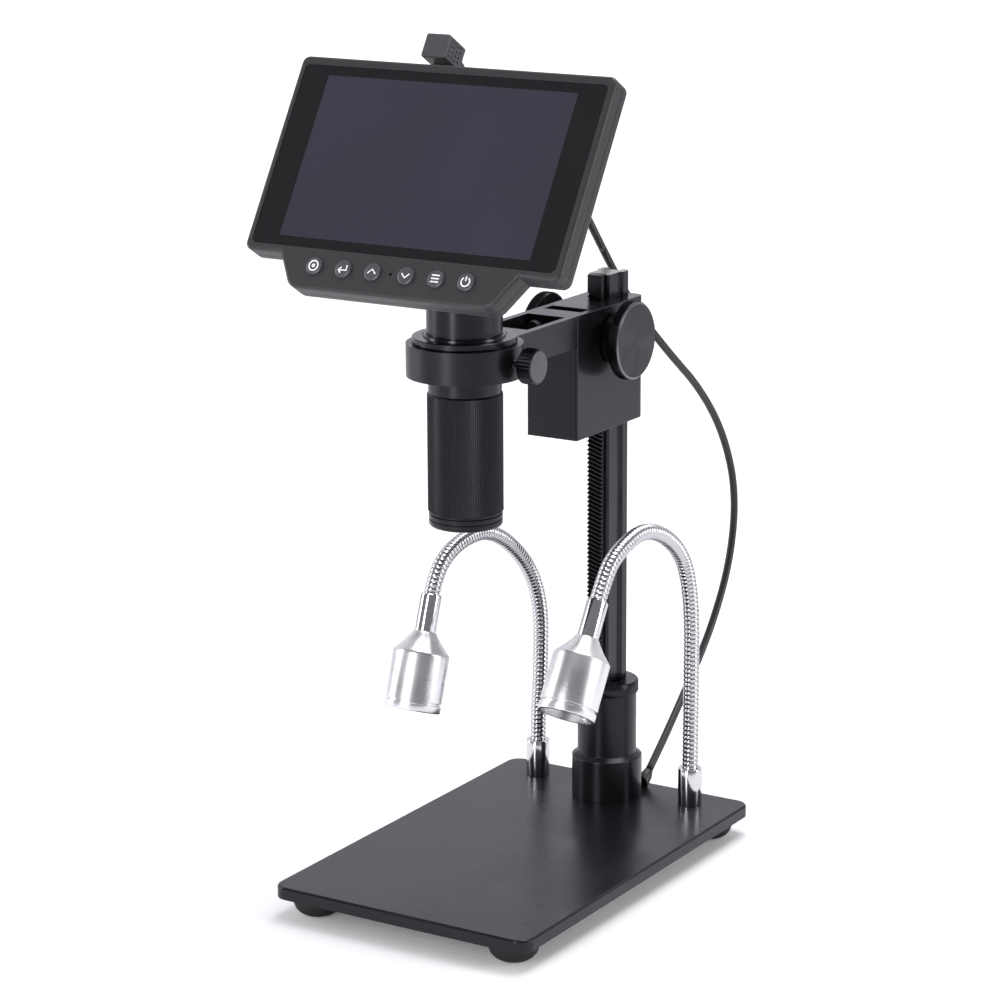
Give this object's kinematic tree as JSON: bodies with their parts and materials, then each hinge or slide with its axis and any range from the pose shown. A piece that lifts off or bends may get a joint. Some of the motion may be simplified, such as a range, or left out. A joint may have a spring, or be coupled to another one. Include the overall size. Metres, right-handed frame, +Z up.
{
  "type": "digital microscope",
  "caption": "Digital microscope with a leaning screen head over a clamp ring, rack-and-pinion focusing on a column, a flat base plate and two gooseneck lamps.",
  "frame": {"origin": "on the table under the middle of the base plate", "axes": "+Z up, +Y from the user's side to the back, +X to the user's right"},
  "size_m": [0.136, 0.261, 0.3381],
  "materials": {
    "plate": "matte black anodised",
    "black_metal": "matte black anodised",
    "knurled": "fine straight knurl, black anodised",
    "rack_metal": "machined, black anodised",
    "column_metal": "extruded, black anodised",
    "steel": "machined",
    "brass": "turned",
    "chrome": "polished",
    "satin": "satin anodised",
    "housing": "fine texture",
    "button": "satin",
    "rubber": "matte",
    "screen": "gloss",
    "panel": "smooth",
    "board": "solder mask",
    "lens": "coated",
    "reflector": "vapour coated",
    "cable": "smooth jacket"
  },
  "bodies": {
    "base": {"base_plate": "plate", "rubber_feet": "rubber", "base_bolt": "steel", "column_post": "column_metal", "column_socket": "black_metal", "socket_collar": "black_metal", "gear_rack": "rack_metal", "lamp_foot_left": "chrome", "lamp_foot_right": "chrome", "cable_gland": "cable", "usb_cable": "cable"},
    "carriage": {"focus_block": "black_metal", "holder_arm": "black_metal", "arm_screw_left": "steel", "arm_screw_right": "steel", "pinion_bush_left": "brass", "pinion_bush_right": "brass"},
    "pinion": {"pinion_shaft": "steel", "focus_knob_left": "black_metal", "focus_knob_right": "black_metal"},
    "clamp": {"clamp_screw": "black_metal"},
    "camera_head": {"adapter_ring": "black_metal", "camera_tube": "black_metal", "lens_core": "black_metal", "rear_lens": "lens", "sensor_board": "board", "screen_front_housing": "housing", "screen_rear_housing": "housing", "screen_glass": "screen", "screen_panel": "panel", "main_board": "board", "button_board": "board", "usb_plug": "cable", "usb_plug_shell": "steel"},
    "lens_sleeve": {"focus_sleeve": "knurled", "front_lens": "lens"},
    "neck_left": {"gooseneck_left": "chrome"},
    "lamp_left": {"lamp_ferrule_left": "chrome", "lamp_head_left": "satin", "lamp_bezel_left": "satin", "lamp_reflector_left": "reflector", "lamp_led_board_left": "board"},
    "neck_right": {"gooseneck_right": "chrome"},
    "lamp_right": {"lamp_ferrule_right": "chrome", "lamp_head_right": "satin", "lamp_bezel_right": "satin", "lamp_reflector_right": "reflector", "lamp_led_board_right": "board"},
    "button_1": {"button_1": "button"},
    "button_2": {"button_2": "button"},
    "button_3": {"button_3": "button"},
    "button_4": {"button_4": "button"},
    "button_5": {"button_5": "button"},
    "button_6": {"button_6": "button"}
  },
  "joints": [
    {"name": "focus_slide", "type": "slide", "parent": "base", "child": "carriage", "axis": [0, 0, 1], "range_m": [-0.095, 0.008], "deforming": ["usb_cable"]},
    {"name": "focus_knob", "type": "hinge", "parent": "carriage", "child": "pinion", "pos_m": [0, 0.05354, 0.2105], "axis": [1, 0, 0], "range_deg": [-82, 952]},
    {"name": "clamp_turn", "type": "hinge", "parent": "carriage", "child": "clamp", "pos_m": [0.03, -0.0382, 0.21775], "axis": [1, 0, 0], "range_deg": [0, 360]},
    {"name": "camera_turn", "type": "hinge", "parent": "carriage", "child": "camera_head", "pos_m": [0, -0.0382, 0.224], "axis": [0, 0, 1], "range_deg": [-90, 90], "deforming": ["usb_cable"]},
    {"name": "lens_focus", "type": "hinge", "parent": "camera_head", "child": "lens_sleeve", "pos_m": [0, -0.0382, 0.18], "axis": [0, 0, 1], "range_deg": [-150, 150]},
    {"name": "neck_left_swing", "type": "hinge", "parent": "base", "child": "neck_left", "pos_m": [-0.0366, 0.0752, 0.029], "axis": [0, 0, -1], "range_deg": [-3, 60]},
    {"name": "lamp_left_tilt", "type": "hinge", "parent": "neck_left", "child": "lamp_left", "pos_m": [-0.0366, -0.00738, 0.10976], "axis": [1, 0, 0], "range_deg": [-20, 35], "deforming": ["gooseneck_left"]},
    {"name": "neck_right_swing", "type": "hinge", "parent": "base", "child": "neck_right", "pos_m": [0.0366, 0.0752, 0.029], "axis": [0, 0, 1], "range_deg": [-3, 60]},
    {"name": "lamp_right_tilt", "type": "hinge", "parent": "neck_right", "child": "lamp_right", "pos_m": [0.0366, -0.00286, 0.11664], "axis": [1, 0, 0], "range_deg": [-20, 35], "deforming": ["gooseneck_right"]},
    {"name": "button_1_press", "type": "slide", "parent": "camera_head", "child": "button_1", "axis": [0, 0.8536, -0.521], "range_m": [0, 0.0006], "stiffness_N_per_m": 800, "springref_m": -0.0005},
    {"name": "button_2_press", "type": "slide", "parent": "camera_head", "child": "button_2", "axis": [0, 0.8536, -0.521], "range_m": [0, 0.0006], "stiffness_N_per_m": 800, "springref_m": -0.0005},
    {"name": "button_3_press", "type": "slide", "parent": "camera_head", "child": "button_3", "axis": [0, 0.8536, -0.521], "range_m": [0, 0.0006], "stiffness_N_per_m": 800, "springref_m": -0.0005},
    {"name": "button_4_press", "type": "slide", "parent": "camera_head", "child": "button_4", "axis": [0, 0.8536, -0.521], "range_m": [0, 0.0006], "stiffness_N_per_m": 800, "springref_m": -0.0005},
    {"name": "button_5_press", "type": "slide", "parent": "camera_head", "child": "button_5", "axis": [0, 0.8536, -0.521], "range_m": [0, 0.0006], "stiffness_N_per_m": 800, "springref_m": -0.0005},
    {"name": "button_6_press", "type": "slide", "parent": "camera_head", "child": "button_6", "axis": [0, 0.8536, -0.521], "range_m": [0, 0.0006], "stiffness_N_per_m": 800, "springref_m": -0.0005}
  ],
  "couplings": [
    {"joint": "focus_knob", "follows": "focus_slide", "rad_per_m": -174.53}
  ]
}
